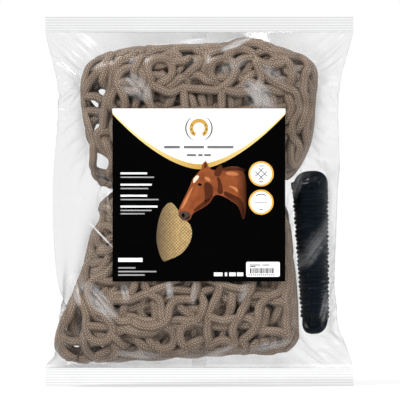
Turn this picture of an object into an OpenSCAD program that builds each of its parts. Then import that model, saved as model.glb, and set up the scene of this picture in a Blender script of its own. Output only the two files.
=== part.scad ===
// Folded slow-feeder hay net in a clear pillow bag, with its suspension rope and front label.
// The pack stands upright: +X is to the right, -Y is the labelled front and +Z is up.
// The origin is under the middle of the pack, at the lower edge of the bottom seal.

/* [Bag] */
// Width of the bag across its seals
bag_w = 258; // [240:1:280]
// Height of the bag from seal edge to seal edge
bag_h = 310; // [295:1:330]
// Depth of the filled pack, label to flat back
pack_depth = 64; // [60:1:76]
// How far each side of the bag pulls in at mid-height
side_pull_in = 12; // [6:0.5:13]
// Thickness of the film, drawn heavier than real film
film_t = 0.4; // [0.2:0.05:0.6]
// Height of the top seal
top_seal_h = 12.8; // [8:0.2:16]
// Height of the bottom seal
bottom_seal_h = 15.4; // [8:0.2:18]
// Width of the lap seam down the back
seam_w = 12; // [6:1:20]

/* [Folded net] */
// Height of the waist between the two lumps of net
waist_z = 166; // [160:1:172]
// Thickness of the net's cord
cord_d = 6.5; // [4:0.5:7]
// Gap between folds of one lump
fold_gap = 0.4; // [0.2:0.1:1]
// Number of cords that cross the waist
waist_cords = 8; // [4:1:9]

/* [Rope hank] */
// Diameter of the suspension rope
rope_d = 3.6; // [3:0.1:4]
// Pitch of the turns wound round the hank
turn_pitch = 3.54; // [3.3:0.02:3.6]
// Number of turns wound round the hank
turns = 31; // [20:1:32]
// Radius of the turns' centre line at the top of the winding
hank_r_top = 13.4; // [12:0.1:13.6]
// Radius of the turns' centre line at the bottom of the winding
hank_r_bottom = 10.2; // [9.5:0.1:12]

/* [Label] */
// Side of the square front label
label_side = 144; // [120:1:150]
// Thickness of the label
label_t = 0.2; // [0.1:0.05:0.25]
// Width of the small white sticker
sticker_w = 28; // [20:1:32]
// Height of the small white sticker
sticker_h = 12.4; // [8:0.2:16]

/* [Hidden] */

net_color = [0.61, 0.54, 0.48];
rope_color = [0.11, 0.14, 0.17];
film_color = [0.90, 0.93, 0.95, 0.35];
print_color = [0.05, 0.05, 0.05];

// Film: the two panels lie either side of the seal plane, y = 0.
seal_bottom_z = bottom_seal_h;
seal_top_z = bag_h - top_seal_h;
film_mid_z = (seal_top_z + seal_bottom_z) / 2;
film_half_h = (seal_top_z - seal_bottom_z) / 2;
panel_gap = 0.1;
seal_gap = 0.6;
seam_clear = 0.8;
seam_end_gap = 24;
waist_gap = 6.2;
side_inset = 0.6;
front_stack = 0.4;
front_crown = pack_depth / 2 - front_stack - film_t;
back_crown = pack_depth / 2 - film_t;
crown_overfill = 1.09;
side_power = 8;
end_power = 10;
pull_power = 3;
film_cols = 26;
film_rows = 12;
rib_pitch = 4.4;
rib_h = 1.8;
rib_proud = 0.25;

// Net lumps: outlines are (x, height above or below the waist).
lump_depth = front_crown - 0.6;
crown_scale = 0.5;
lump_power = 5;
lump_root = 3;
lump_levels = 6;
core_half = lump_depth / 3;
waist_cord_span = 104;
waist_clear = 0.9;
lump_edge = 9;
upper_outline = [
    [-72, lump_edge], [-86, 16], [-97, 48], [-100, 74], [-92, 99], [-68, 116], [-36, 121], [6, 121],
    [48, 125], [76, 115], [97, 99], [98, 46], [86, 20], [70, lump_edge]
];
lower_outline = [
    [70, -lump_edge], [77, -30], [81, -68], [84, -108], [79, -134], [28, -140], [-106, -146],
    [-118, -128], [-108, -90], [-98, -66], [-90, -30], [-72, -lump_edge]
];
upper_centre = [0, 66];
lower_centre = [-12, -76];

// Rope hank
hank_x = 96.6;
hank_y = 2;
hank_lean = 2.2;
hank_mid_z = 111;
turns_len = (turns - 1) * turn_pitch;
strand_r = hank_r_bottom - rope_d / 2 - 0.15;
strand_overrun = 2;
loop_r = rope_d / 2;
loop_lift = 2.2;
top_loops = [9.5, 5.5];
top_side_loop = 7.5;
top_side_y = 5;
bottom_loops = [6.2, 2.4];
bottom_side_loop = 4.6;
bottom_side_y = 4.6;
cut_end_x = -13.6;
cut_end_lift = 3.6;
cut_end_lean = 10;
cut_end_len = 5;

// Label and sticker
label_x = -0.4;
label_z = 160.4;
label_corner_r = 1;
sticker_x = 53;
sticker_z = 98.5;
sticker_t = 0.12;
label_clear = 0.05;
sticker_clear = 0.03;
label_back_y = -(front_crown + film_t + label_clear);

$fn = 48;

// ---- film ----

// Half-width of the bag at height z
function bag_half_w(z) =
    bag_w / 2 - side_inset - side_pull_in * (1 - pow(abs(z - film_mid_z) / film_half_h, pull_power));

// Depth of a panel at the fraction u of the half-width and at height z
function bulge(u, z, crown) =
    min(crown, crown * crown_overfill
        * sqrt(max(0, 1 - pow(abs(u), side_power)))
        * sqrt(max(0, 1 - pow(abs(z - film_mid_z) / film_half_h, end_power))));

// One point of a panel; side is -1 at the front and 1 at the back, out is the offset outwards
function film_point(side, u, z, crown, out) =
    [u * (bag_half_w(z) + out), side * (max(panel_gap, bulge(u, z, crown)) + out), z];

// Faces that close two grids of the same size, laid one after the other in the list of points
function sheet_faces(cols, rows, flip) =
    let (
        n = (cols + 1) * (rows + 1),
        at = function(i, j, s) s * n + j * (cols + 1) + i,
        outer = [for (j = [0:rows - 1], i = [0:cols - 1])
            each [[at(i, j, 0), at(i + 1, j, 0), at(i + 1, j + 1, 0)],
                  [at(i, j, 0), at(i + 1, j + 1, 0), at(i, j + 1, 0)]]],
        inner = [for (j = [0:rows - 1], i = [0:cols - 1])
            each [[at(i, j, 1), at(i + 1, j + 1, 1), at(i + 1, j, 1)],
                  [at(i, j, 1), at(i, j + 1, 1), at(i + 1, j + 1, 1)]]],
        ends = [for (i = [0:cols - 1])
            each [[at(i + 1, 0, 0), at(i, 0, 0), at(i, 0, 1), at(i + 1, 0, 1)],
                  [at(i, rows, 0), at(i + 1, rows, 0), at(i + 1, rows, 1), at(i, rows, 1)]]],
        sides = [for (j = [0:rows - 1])
            each [[at(0, j, 0), at(0, j + 1, 0), at(0, j + 1, 1), at(0, j, 1)],
                  [at(cols, j + 1, 0), at(cols, j, 0), at(cols, j, 1), at(cols, j + 1, 1)]]],
        all = concat(outer, inner, ends, sides)
    )
    flip ? all : [for (f = all) [for (k = [len(f) - 1:-1:0]) f[k]]];

// A patch of the bag's wall between two fractions of its width and two heights
module film_patch(side, crown, u_from, u_to, z_from, z_to, cols, lift = 0, t = film_t) {
    lies_up = z_from > film_mid_z;
    fraction = function(i) sin(90 * (u_from + (u_to - u_from) * i / cols));
    height = function(j) lies_up
        ? z_from + (z_to - z_from) * sin(90 * j / film_rows)
        : z_to - (z_to - z_from) * sin(90 * (film_rows - j) / film_rows);
    grid = function(out) [for (j = [0:film_rows], i = [0:cols])
        film_point(side, fraction(i), height(j), crown, out)];
    polyhedron(
        points = concat(grid(lift + t), grid(lift)),
        faces = sheet_faces(cols, film_rows, side > 0),
        convexity = 6
    );
}

module upper_panel(side, crown) {
    color(film_color)
        film_patch(side, crown, -1, 1, waist_z + waist_gap, seal_top_z - seal_gap, film_cols);
}

module lower_panel(side, crown) {
    color(film_color)
        film_patch(side, crown, -1, 1, seal_bottom_z + seal_gap, waist_z - waist_gap, film_cols);
}

module bag_front_film_upper() { upper_panel(-1, front_crown); }
module bag_front_film_lower() { lower_panel(-1, front_crown); }
module bag_back_film_upper() { upper_panel(1, back_crown); }
module bag_back_film_lower() { lower_panel(1, back_crown); }

// The overlap of the film down the back, on the inside
module lap_seam(z_from, z_to) {
    half = asin(seam_w / bag_w) / 90;
    color(film_color)
        film_patch(1, back_crown, -half, half, z_from, z_to, 2, -film_t - seam_clear);
}

module bag_lap_seam_upper() { lap_seam(waist_z + waist_gap, seal_top_z - seam_end_gap); }
module bag_lap_seam_lower() { lap_seam(seal_bottom_z + seam_end_gap, waist_z - waist_gap); }

// A crimped seal: a flat strip with ribs on both faces
module seal(h) {
    rib_count = floor((h - 1) / rib_pitch);
    margin = (h - (rib_count - 1) * rib_pitch) / 2;
    color(film_color) {
        translate([-bag_w / 2, -film_t, 0]) cube([bag_w, 2 * film_t, h]);
        for (k = [0:rib_count - 1])
            translate([-bag_w / 2, -film_t - rib_proud, margin + k * rib_pitch - rib_h / 2])
                cube([bag_w, 2 * (film_t + rib_proud), rib_h]);
    }
}

module bag_top_seal() { translate([0, 0, seal_top_z]) seal(top_seal_h); }
module bag_bottom_seal() { seal(bottom_seal_h); }

// ---- folded net ----

// Rounds a closed outline by cutting its corners
function round_outline(p) = let (n = len(p))
    [for (i = [0:n - 1]) let (a = p[i], b = p[(i + 1) % n])
        each [0.75 * a + 0.25 * b, 0.25 * a + 0.75 * b]];

// Size of a lump's outline at depth y, as a fraction
function lump_scale(y) = pow(1 - pow(abs(y) / lump_depth, lump_power), 1 / lump_root);

// Depth at which a lump's outline has shrunk to the fraction s
function lump_level(s) = lump_depth * pow(1 - pow(s, lump_root), 1 / lump_power);

// One fold of a lump: the outline stacked from y_from to y_to
module fold(outline, centre, y_from, y_to) {
    rim = round_outline(round_outline(outline));
    n = len(rim);
    points = [for (k = [0:lump_levels], p = rim)
        let (y = y_from + (y_to - y_from) * k / lump_levels, s = lump_scale(y))
            [centre.x + s * (p.x - centre.x), y, waist_z + centre.y + s * (p.y - centre.y)]];
    walls = [for (k = [0:lump_levels - 1], i = [0:n - 1])
        let (j = (i + 1) % n)
            each [[k * n + i, k * n + j, (k + 1) * n + j], [k * n + i, (k + 1) * n + j, (k + 1) * n + i]]];
    front_cap = [for (i = [n - 1:-1:0]) i];
    back_cap = [for (i = [0:n - 1]) lump_levels * n + i];
    faces = concat(walls, [front_cap], [back_cap]);
    color(net_color)
        polyhedron(points, [for (f = faces) [for (k = [len(f) - 1:-1:0]) f[k]]], convexity = 4);
}

crown_y = lump_level(crown_scale);

module net_upper_front_fold() { fold(upper_outline, upper_centre, -crown_y, -core_half); }
module net_upper_core_fold() {
    fold(upper_outline, upper_centre, -core_half + fold_gap, core_half - fold_gap);
}
module net_upper_back_fold() { fold(upper_outline, upper_centre, core_half, crown_y); }
module net_lower_front_fold() { fold(lower_outline, lower_centre, -crown_y, -core_half); }
module net_lower_core_fold() {
    fold(lower_outline, lower_centre, -core_half + fold_gap, core_half - fold_gap);
}
module net_lower_back_fold() { fold(lower_outline, lower_centre, core_half, crown_y); }

// The cords of the net that run on across the waist, up to the lump
module waist_cords_up() {
    stub = lump_edge - waist_clear - cord_d / 2 - fold_gap;
    color(net_color)
        for (k = [0:waist_cords - 1])
            translate([-waist_cord_span / 2 + waist_cord_span * k / (waist_cords - 1), 0, 0]) {
                translate([0, 0, waist_clear + cord_d / 2]) sphere(d = cord_d);
                translate([0, 0, waist_clear + cord_d / 2]) cylinder(d = cord_d, h = stub);
            }
}

module net_waist_cords_upper() { translate([0, 0, waist_z]) waist_cords_up(); }
module net_waist_cords_lower() {
    translate([0, 0, waist_z]) mirror([0, 0, 1]) waist_cords_up();
}

// ---- rope hank ----

// Places a piece of the hank, whose own axis is +Z with 0 at its middle
module in_hank() {
    translate([hank_x, hank_y, hank_mid_z]) rotate([0, -hank_lean, 0]) children();
}

// Radius of the turns' centre line at turn k
function turn_r(k) = hank_r_bottom + (hank_r_top - hank_r_bottom) * k / (turns - 1);

// The turns lie side by side and hold one another as a ribbed sleeve
module rope_turns() {
    color(rope_color) in_hank()
        rotate_extrude()
            for (k = [0:turns - 1])
                translate([turn_r(k), k * turn_pitch - turns_len / 2]) circle(d = rope_d);
}

// The lengthwise strands that the turns are wound on
module rope_core_strands() {
    color(rope_color) in_hank()
        translate([0, 0, -turns_len / 2 - strand_overrun])
            cylinder(r = strand_r, h = turns_len + 2 * strand_overrun);
}

// A half-round loop of rope, standing on the hank's end
module loop(r) {
    rotate([90, 0, 0]) rotate_extrude(angle = 180) translate([r, 0]) circle(r = loop_r);
}

module rope_top_loops() {
    color(rope_color) in_hank()
        translate([0, 0, turns_len / 2 + loop_lift]) {
            for (r = top_loops) loop(r);
            for (side = [-1, 1]) translate([0, side * top_side_y, 0]) loop(top_side_loop);
        }
}

module rope_bottom_loops() {
    color(rope_color) in_hank()
        translate([0, 0, -turns_len / 2 - loop_lift]) mirror([0, 0, 1]) {
            for (r = bottom_loops) loop(r);
            for (side = [-1, 1]) translate([0, side * bottom_side_y, 0]) loop(bottom_side_loop);
        }
}

// The rope's free end, tucked out past the last turn on the side towards the net
module rope_cut_end() {
    color(rope_color) in_hank()
        translate([cut_end_x, 0, turns_len / 2 + cut_end_lift])
            rotate([0, -cut_end_lean, 0]) cylinder(d = rope_d, h = cut_end_len);
}

// ---- label ----

module label_blank() {
    translate([label_x, label_back_y, label_z]) rotate([90, 0, 0])
        linear_extrude(label_t)
            difference() {
                square(label_side, center = true);
                for (a = [0:90:270])
                    rotate(a) translate([1, 1] * (label_side / 2 - label_corner_r)) difference() {
                        square(label_corner_r + 1);
                        circle(label_corner_r);
                    }
            }
}

module label_upper() {
    color(print_color) intersection() {
        label_blank();
        translate([-bag_w / 2, -pack_depth, waist_z + waist_gap]) cube([bag_w, pack_depth, bag_h]);
    }
}

module label_lower() {
    color(print_color) intersection() {
        label_blank();
        translate([-bag_w / 2, -pack_depth, waist_z - waist_gap - bag_h])
            cube([bag_w, pack_depth, bag_h]);
    }
}

module barcode_sticker() {
    color("white")
        translate([sticker_x, label_back_y - label_t - sticker_clear, sticker_z]) rotate([90, 0, 0])
            linear_extrude(sticker_t) square([sticker_w, sticker_h], center = true);
}

net_upper_front_fold();
net_upper_core_fold();
net_upper_back_fold();
net_lower_front_fold();
net_lower_core_fold();
net_lower_back_fold();
net_waist_cords_upper();
net_waist_cords_lower();
bag_front_film_upper();
bag_front_film_lower();
bag_back_film_upper();
bag_back_film_lower();
bag_lap_seam_upper();
bag_lap_seam_lower();
bag_top_seal();
bag_bottom_seal();
label_upper();
label_lower();
barcode_sticker();
rope_core_strands();
rope_turns();
rope_top_loops();
rope_bottom_loops();
rope_cut_end();
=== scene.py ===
"""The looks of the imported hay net, built round the fixed CAD frame.

Shapes are worked out in millimetres in the row frame (+X right, -Y labelled front, +Z up)
and turned into metres as each mesh is made. The net is laid up as a real folded sheet of
square mesh and pressed into its two lumps; the bag is a tube of film drawn tight round
the net and the rope and sealed at both ends.
"""

import bmesh
import bpy
import numpy as np
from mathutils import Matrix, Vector


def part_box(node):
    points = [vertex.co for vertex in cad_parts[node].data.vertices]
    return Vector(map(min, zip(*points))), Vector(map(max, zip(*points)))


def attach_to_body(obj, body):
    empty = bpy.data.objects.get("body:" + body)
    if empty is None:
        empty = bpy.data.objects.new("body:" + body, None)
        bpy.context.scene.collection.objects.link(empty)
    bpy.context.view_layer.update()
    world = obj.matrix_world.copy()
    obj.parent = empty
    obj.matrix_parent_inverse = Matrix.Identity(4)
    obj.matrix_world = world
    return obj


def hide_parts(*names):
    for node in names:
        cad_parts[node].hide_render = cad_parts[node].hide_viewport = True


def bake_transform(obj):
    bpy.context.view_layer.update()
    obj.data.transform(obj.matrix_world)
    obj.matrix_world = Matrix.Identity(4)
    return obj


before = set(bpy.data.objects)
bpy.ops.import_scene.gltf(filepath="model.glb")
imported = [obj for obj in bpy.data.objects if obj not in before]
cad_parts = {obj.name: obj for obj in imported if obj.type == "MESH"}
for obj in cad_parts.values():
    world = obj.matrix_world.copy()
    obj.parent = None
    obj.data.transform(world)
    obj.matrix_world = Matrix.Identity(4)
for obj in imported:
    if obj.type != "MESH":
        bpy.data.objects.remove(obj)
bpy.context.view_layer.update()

MM = 0.001
SEED = 5
rng = np.random.default_rng(SEED)


# ---------------------------------------------------------------- sizes from the frame

def box_mm(node):
    low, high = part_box(node)
    return np.array(low) / MM, np.array(high) / MM


TOP_SEAL = box_mm("bag_top_seal")
BOTTOM_SEAL = box_mm("bag_bottom_seal")
BAG_HALF_W = TOP_SEAL[1][0]
FILM_TOP = TOP_SEAL[0][2]
FILM_BOTTOM = BOTTOM_SEAL[1][2]
UPPER_FRONT = box_mm("net_upper_front_fold")
UPPER_CORE = box_mm("net_upper_core_fold")
LOWER_CORE = box_mm("net_lower_core_fold")
WAIST_Z = (UPPER_CORE[0][2] + LOWER_CORE[1][2]) / 2
CROWN = -UPPER_FRONT[0][1]
CORE_HALF = UPPER_CORE[1][1]
LABEL_LOW = box_mm("label_lower")[0]
LABEL_HIGH = box_mm("label_upper")[1]
LABEL_SIDE = LABEL_HIGH[0] - LABEL_LOW[0]
LABEL_MID = (LABEL_LOW + LABEL_HIGH) / 2
STICKER = box_mm("barcode_sticker")
TURNS = box_mm("rope_turns")

# The pack bends at its waist between these two heights.
BEND_LOW = (0, 0, (WAIST_Z - 14) * MM)
BEND_HIGH = (0, 0, (WAIST_Z + 28) * MM)


# ---------------------------------------------------------------- meshes

def add_object(name, data):
    made = bpy.data.objects.new(name, data)
    bpy.context.scene.collection.objects.link(made)
    return made


def make_mesh(name, points, faces, material, corner_uv=None, smooth=True):
    """A mesh object from points in mm and a list of arrays of faces with equal corner counts."""
    mesh = bpy.data.meshes.new(name)
    mesh.vertices.add(len(points))
    mesh.vertices.foreach_set("co", (np.asarray(points) * MM).astype(np.float32).ravel())
    corners = np.concatenate([f.ravel() for f in faces]).astype(np.int32)
    counts = np.concatenate([np.full(len(f), f.shape[1]) for f in faces])
    mesh.loops.add(len(corners))
    mesh.loops.foreach_set("vertex_index", corners)
    mesh.polygons.add(len(counts))
    mesh.polygons.foreach_set("loop_start", (np.cumsum(counts) - counts).astype(np.int32))
    mesh.polygons.foreach_set("use_smooth", np.full(len(counts), smooth))
    if corner_uv is not None:
        layer = mesh.uv_layers.new(name="UVMap")
        layer.data.foreach_set("uv", np.asarray(corner_uv, np.float32).ravel())
    mesh.update(calc_edges=True)
    mesh.validate()
    mesh.materials.append(material)
    return add_object(name, mesh)


def attach(piece, slot, *nodes, body=None):
    """Lets a piece stand for CAD nodes, riding one body or staying where it was made."""
    if nodes:
        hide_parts(*nodes)
    if body:
        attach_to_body(piece, body)
    else:
        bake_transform(piece)


def unit(vectors):
    return vectors / np.maximum(np.linalg.norm(vectors, axis=-1, keepdims=True), 1e-9)


def length_along(path):
    """Length from the start of a path to each of its points."""
    return np.r_[0, np.cumsum(np.linalg.norm(np.diff(path, axis=0), axis=1))]


def with_ends(points):
    """The rows with one more at each end, carried on in a straight line."""
    return np.concatenate([2 * points[:1] - points[1:2], points, 2 * points[-1:] - points[-2:-1]])


def running_mean(values, reach):
    """Mean of each row with its neighbours up to reach rows away, edges held."""
    padded = np.concatenate([np.repeat(values[:1], reach, 0), values,
                             np.repeat(values[-1:], reach, 0)])
    sums = np.cumsum(np.concatenate([np.zeros_like(values[:1]), padded]), axis=0)
    width = 2 * reach + 1
    return (sums[width:] - sums[:-width]) / width


class Skin:
    """Gathers the skins of many cords into one mesh."""

    END_TAPER = 0.6

    def __init__(self, sides):
        self.sides = sides
        self.points, self.quads, self.caps, self.uvs = [], [], [], []
        self.count = 0

    def add(self, path, thin, wide, thick, start=0.0):
        """A cord along path; thin is the direction its section is flattest in."""
        sides = self.sides
        tangent = unit(np.gradient(path, axis=0))
        thin = unit(thin - (thin * tangent).sum(1, keepdims=True) * tangent)
        across = np.cross(thin, tangent)
        turn = 2 * np.pi * np.arange(sides) / sides
        taper = np.ones(len(path))
        taper[[0, -1]] = self.END_TAPER
        ring_x = (across * (taper * wide / 2)[:, None])[:, None] * np.cos(turn)[None, :, None]
        ring_y = (thin * (taper * thick / 2)[:, None])[:, None] * np.sin(turn)[None, :, None]
        self.points.append((path[:, None] + ring_x + ring_y).reshape(-1, 3))
        i = np.arange(len(path) - 1)[:, None]
        k = np.arange(sides)[None]
        near = (self.count + i * sides + k).ravel()
        near_next = (self.count + i * sides + (k + 1) % sides).ravel()
        self.quads.append(np.stack([near, near_next, near_next + sides, near + sides], 1))
        last = self.count + (len(path) - 1) * sides
        self.caps.append(self.count + np.arange(sides)[::-1])
        self.caps.append(last + np.arange(sides))
        along = start + length_along(path)
        low = np.broadcast_to(along[:-1, None], (len(path) - 1, sides)).ravel()
        high = np.broadcast_to(along[1:, None], (len(path) - 1, sides)).ravel()
        left = np.broadcast_to(k / sides, (len(path) - 1, sides)).ravel()
        right = left + 1 / sides
        uv = np.stack([low, left, low, right, high, right, high, left], 1)
        self.uvs.append(uv.reshape(-1, 2))
        self.count += len(path) * sides

    def piece(self, name, material):
        caps = np.array(self.caps)
        quads = np.concatenate(self.quads)
        cap_uv = np.zeros((caps.size, 2))
        uv = np.concatenate(self.uvs + [cap_uv])
        return make_mesh(name, np.concatenate(self.points), [quads, caps], material, uv)


def grid_faces(rows, columns):
    """Quads of a grid of rows by columns of points."""
    j, i = np.meshgrid(np.arange(rows - 1), np.arange(columns - 1), indexing="ij")
    a = (j * columns + i).ravel()
    return np.stack([a, a + 1, a + columns + 1, a + columns], 1)


def shell(name, outer, inner, material):
    """A closed sheet between two grids of points of the same shape."""
    rows, columns = outer.shape[:2]
    count = rows * columns
    faces = grid_faces(rows, columns)
    ids = np.arange(count).reshape(rows, columns)
    rim = np.concatenate([ids[0], ids[1:, -1], ids[-1, -2::-1], ids[-2:0:-1, 0]])
    rim_next = np.roll(rim, -1)
    wall = np.stack([rim_next, rim, rim + count, rim_next + count], 1)
    points = np.concatenate([outer.reshape(-1, 3), inner.reshape(-1, 3)])
    return make_mesh(name, points, [faces, faces[:, ::-1] + count, wall], material)


def grid_normals(points):
    """Unit normals of a grid of points, towards the front (-Y) when x and z both rise."""
    along_rows = np.gradient(points, axis=0)
    along_columns = np.gradient(points, axis=1)
    return unit(np.cross(along_columns, along_rows))


# ---------------------------------------------------------------- materials

class Nodes:
    """A shader node tree while it is being put together."""

    def __init__(self, tree):
        self.tree = tree

    def node(self, kind, inputs=None, **settings):
        made = self.tree.nodes.new("ShaderNode" + kind)
        for key, value in settings.items():
            setattr(made, key, value)
        for key, value in (inputs or {}).items():
            self.feed(made.inputs[key], value)
        return made

    def feed(self, socket, value):
        if isinstance(value, bpy.types.NodeSocket):
            self.tree.links.new(value, socket)
        else:
            socket.default_value = value

    def math(self, operation, a, b=0.0):
        return self.node("Math", {0: a, 1: b}, operation=operation).outputs[0]

    def plus(self, a, b):
        return self.math("ADD", a, b)

    def minus(self, a, b):
        return self.math("SUBTRACT", a, b)

    def times(self, a, b):
        return self.math("MULTIPLY", a, b)

    def coordinate(self, axis):
        """One coordinate of the shaded point, in metres."""
        return self.node("SeparateXYZ", {0: self.position()}).outputs[axis]

    def remap(self, value, low, high, to_low=0.0, to_high=1.0, **settings):
        """The value spread from low-high to to_low-to_high, and held at both ends."""
        inputs = {"Value": value, "From Min": low, "From Max": high,
                  "To Min": to_low, "To Max": to_high}
        return self.node("MapRange", inputs, **settings).outputs[0]

    def mix(self, share, a, b):
        return self.node("MixRGB", {"Fac": share, "Color1": a, "Color2": b}).outputs[0]

    def mix_shaders(self, share, a, b):
        return self.node("MixShader", {0: share, 1: a, 2: b}).outputs[0]

    def noise(self, scale, detail=2.0, vector=None):
        where = vector or self.position()
        inputs = {"Scale": scale, "Detail": detail, "Vector": where}
        return self.node("TexNoise", inputs).outputs["Fac"]

    def position(self):
        return self.node("TexCoord").outputs["Object"]

    def ramp(self, value, stops):
        """A colour ramp; stops are (place, colour)."""
        made = self.node("ValToRGB", {"Fac": value})
        elements = made.color_ramp.elements
        while len(elements) < len(stops):
            elements.new(0.5)
        for element, (place, colour) in zip(elements, stops):
            element.position = place
            element.color = colour
        return made.outputs["Color"]


class Paint(Nodes):
    """A node material while it is being put together."""

    def __init__(self, name, roughness=0.6, shine=0.5):
        self.material = bpy.data.materials.new(name)
        self.material.use_nodes = True
        super().__init__(self.material.node_tree)
        self.shader = self.tree.nodes["Principled BSDF"]
        self.shader.inputs["Roughness"].default_value = roughness
        self.shader.inputs["Specular IOR Level"].default_value = shine

    def bump(self, height, distance_mm):
        made = self.node("Bump", {"Height": height, "Distance": distance_mm * MM, "Strength": 1.0})
        self.feed(self.shader.inputs["Normal"], made.outputs[0])

    def colour(self, value):
        self.feed(self.shader.inputs["Base Color"], value)


def rgb(red, green, blue):
    """A colour given as 0-255 screen values, as the linear values Blender wants."""
    screen = np.array([red, green, blue]) / 255
    linear = np.where(screen < 0.04045, screen / 12.92, ((screen + 0.055) / 1.055) ** 2.4)
    return (*[float(v) for v in linear], 1.0)


WHITE, BLACK = (1, 1, 1, 1), (0, 0, 0, 1)


def braid_paint(name, columns, pitch, slant, gap, grain_dark, grain_light, relief, shine):
    """Cord of slanted stitches in columns, with painted shade (the gap colour) in the low ground between
    them; the UV holds the length in mm and the turn 0-1.
    """
    paint = Paint(name, 0.85, shine)
    uv = paint.node("SeparateXYZ", {0: paint.node("TexCoord").outputs["UV"]})
    place = paint.times(uv.outputs["Y"], columns)
    column = paint.math("FLOOR", place)
    side = paint.minus(paint.minus(place, column), 0.5)
    odd = paint.math("MODULO", column, 2.0)
    lean = paint.minus(paint.times(odd, 2 * slant), slant)
    length = paint.math("DIVIDE", uv.outputs["X"], pitch)
    stitch = paint.plus(length, paint.times(lean, side))
    stitch = paint.plus(stitch, paint.times(odd, 0.5))
    middle = paint.minus(paint.math("FRACT", stitch), 0.5)

    def dome(place_on_stitch, steepness):
        away = paint.times(paint.math("ABSOLUTE", place_on_stitch), steepness)
        return paint.minus(1.0, paint.math("POWER", away, 2.0))

    height = paint.times(dome(middle, 2.0), dome(side, 1.5))
    grain = paint.mix(paint.noise(90.0), grain_dark, grain_light)
    # Painted shade: the dark gap colour fills the low ground between the stitch domes.
    paint.colour(paint.mix(paint.remap(height, 0.12, 0.68), gap, grain))
    paint.bump(height, relief)
    return paint.material


RIB_PITCH = 4.4
MILKY_FROM, MILKY_TO = 0.54, 0.74
EDGE_SHINE, FACE_SHINE = 0.36, 0.005


def film_paint(name, clear, edge, haze, rib_pitch=None, glints=()):
    """Clear film: it lets light straight through, and shines more at a glancing angle."""
    paint = Paint(name)
    facing = paint.node("LayerWeight", {"Blend": 0.35}).outputs["Facing"]
    edge_on = paint.math("POWER", facing, 2.0)
    tint = paint.mix(edge_on, (clear, clear, clear, 1), (edge, edge, edge * 1.01, 1))
    if rib_pitch:
        # Painted shade: darker lines across the seal, repeating at the ribs' pitch.
        turn = paint.times(paint.coordinate("Z"), 2 * np.pi / (rib_pitch * MM))
        rib_shade = paint.math("POWER", paint.math("ABSOLUTE", paint.math("SINE", turn)), 3.0)
        tint = paint.mix(paint.times(rib_shade, 0.30), tint, (0.62, 0.63, 0.64, 1))
    through = paint.node("BsdfTransparent", {"Color": tint}).outputs[0]
    shine = paint.node("BsdfGlossy", {"Color": WHITE, "Roughness": 0.26}).outputs[0]
    share = paint.plus(paint.times(edge_on, EDGE_SHINE), FACE_SHINE)
    clean = paint.mix_shaders(share, through, shine)
    milk = paint.node("BsdfTranslucent", {"Color": (0.95, 0.97, 1, 1)}).outputs[0]
    cloud = paint.ramp(paint.noise(24.0, 3.0), [(MILKY_FROM, BLACK), (MILKY_TO, WHITE)])
    mixed = paint.mix_shaders(paint.times(cloud, haze), clean, milk)
    if glints:
        # Painted highlights: white diffuse patches mixed into the film along the glint streaks.
        glare = paint.node("BsdfDiffuse", {"Color": (0.97, 0.98, 1, 1)}).outputs[0]
        mixed = paint.mix_shaders(glint_share(paint, glints), mixed, glare)
    paint.feed(paint.tree.nodes["Material Output"].inputs["Surface"], mixed)
    paint.tree.nodes.remove(paint.shader)
    return paint.material


def glint_share(paint, glints):
    """How much painted highlight the film gets: soft white streaks, each (x, z, half length, half width,
    degrees, share).
    """
    place_x, place_z = paint.coordinate("X"), paint.coordinate("Z")
    ragged = paint.times(paint.minus(paint.noise(110.0, 3.0), 0.5), 1.2)
    total = 0.0
    for x, z, half_long, half_wide, degrees, share in glints:
        dx, dz = paint.minus(place_x, x * MM), paint.minus(place_z, z * MM)
        cosine, sine = np.cos(np.radians(degrees)), np.sin(np.radians(degrees))
        along = paint.plus(paint.times(dx, cosine / (half_long * MM)),
                           paint.times(dz, sine / (half_long * MM)))
        across = paint.plus(paint.times(dx, -sine / (half_wide * MM)),
                            paint.times(dz, cosine / (half_wide * MM)))
        reach = paint.plus(paint.times(along, along), paint.times(across, across))
        near = paint.remap(paint.plus(reach, ragged), 1.0, 0.0, 0.0, share,
                           interpolation_type="SMOOTHSTEP")
        grain = paint.node("CombineXYZ", {0: paint.times(along, 0.6),
                                          1: paint.times(across, 2.4), 2: x * 0.37})
        fibres = paint.remap(paint.noise(1.6, 3.0, grain.outputs[0]), 0.3, 0.7, 0.0, 1.7)
        total = paint.math("MAXIMUM", total, paint.times(near, fibres))
    return total


def print_paint(name, dark, light, scale=60.0, roughness=0.35, shine=0.06, fade=None):
    """Printed ink or card: two close shades that drift into one another, fading out in x."""
    paint = Paint(name, roughness, shine)
    shade = paint.mix(paint.noise(scale), dark, light)
    if fade:
        gone = paint.remap(paint.coordinate("X"), fade[0] * MM, fade[1] * MM)
        shade = paint.mix(gone, shade, rgb(3, 2, 2))
    paint.colour(shade)
    return paint.material


def gold_paint():
    paint = Paint("gold_print", 0.3)
    sweep = paint.math("FRACT", paint.times(paint.coordinate("X"), 9.0))
    deep, bright = rgb(190, 148, 66), rgb(236, 212, 140)
    paint.colour(paint.ramp(sweep, [(0.0, deep), (0.5, bright), (1.0, deep)]))
    return paint.material


# The first colour given to each cord is the painted shade between its stitches.
net_cord = braid_paint("net_cord", 8, 2.5, 0.9, rgb(52, 36, 26), rgb(127, 110, 95),
                       rgb(187, 167, 149), 0.5, 0.15)
rope_cord = braid_paint("rope_cord", 8, 2.0, 1.0, rgb(2, 7, 12), rgb(4, 14, 22),
                        rgb(11, 25, 37), 0.25, 0.03)
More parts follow.
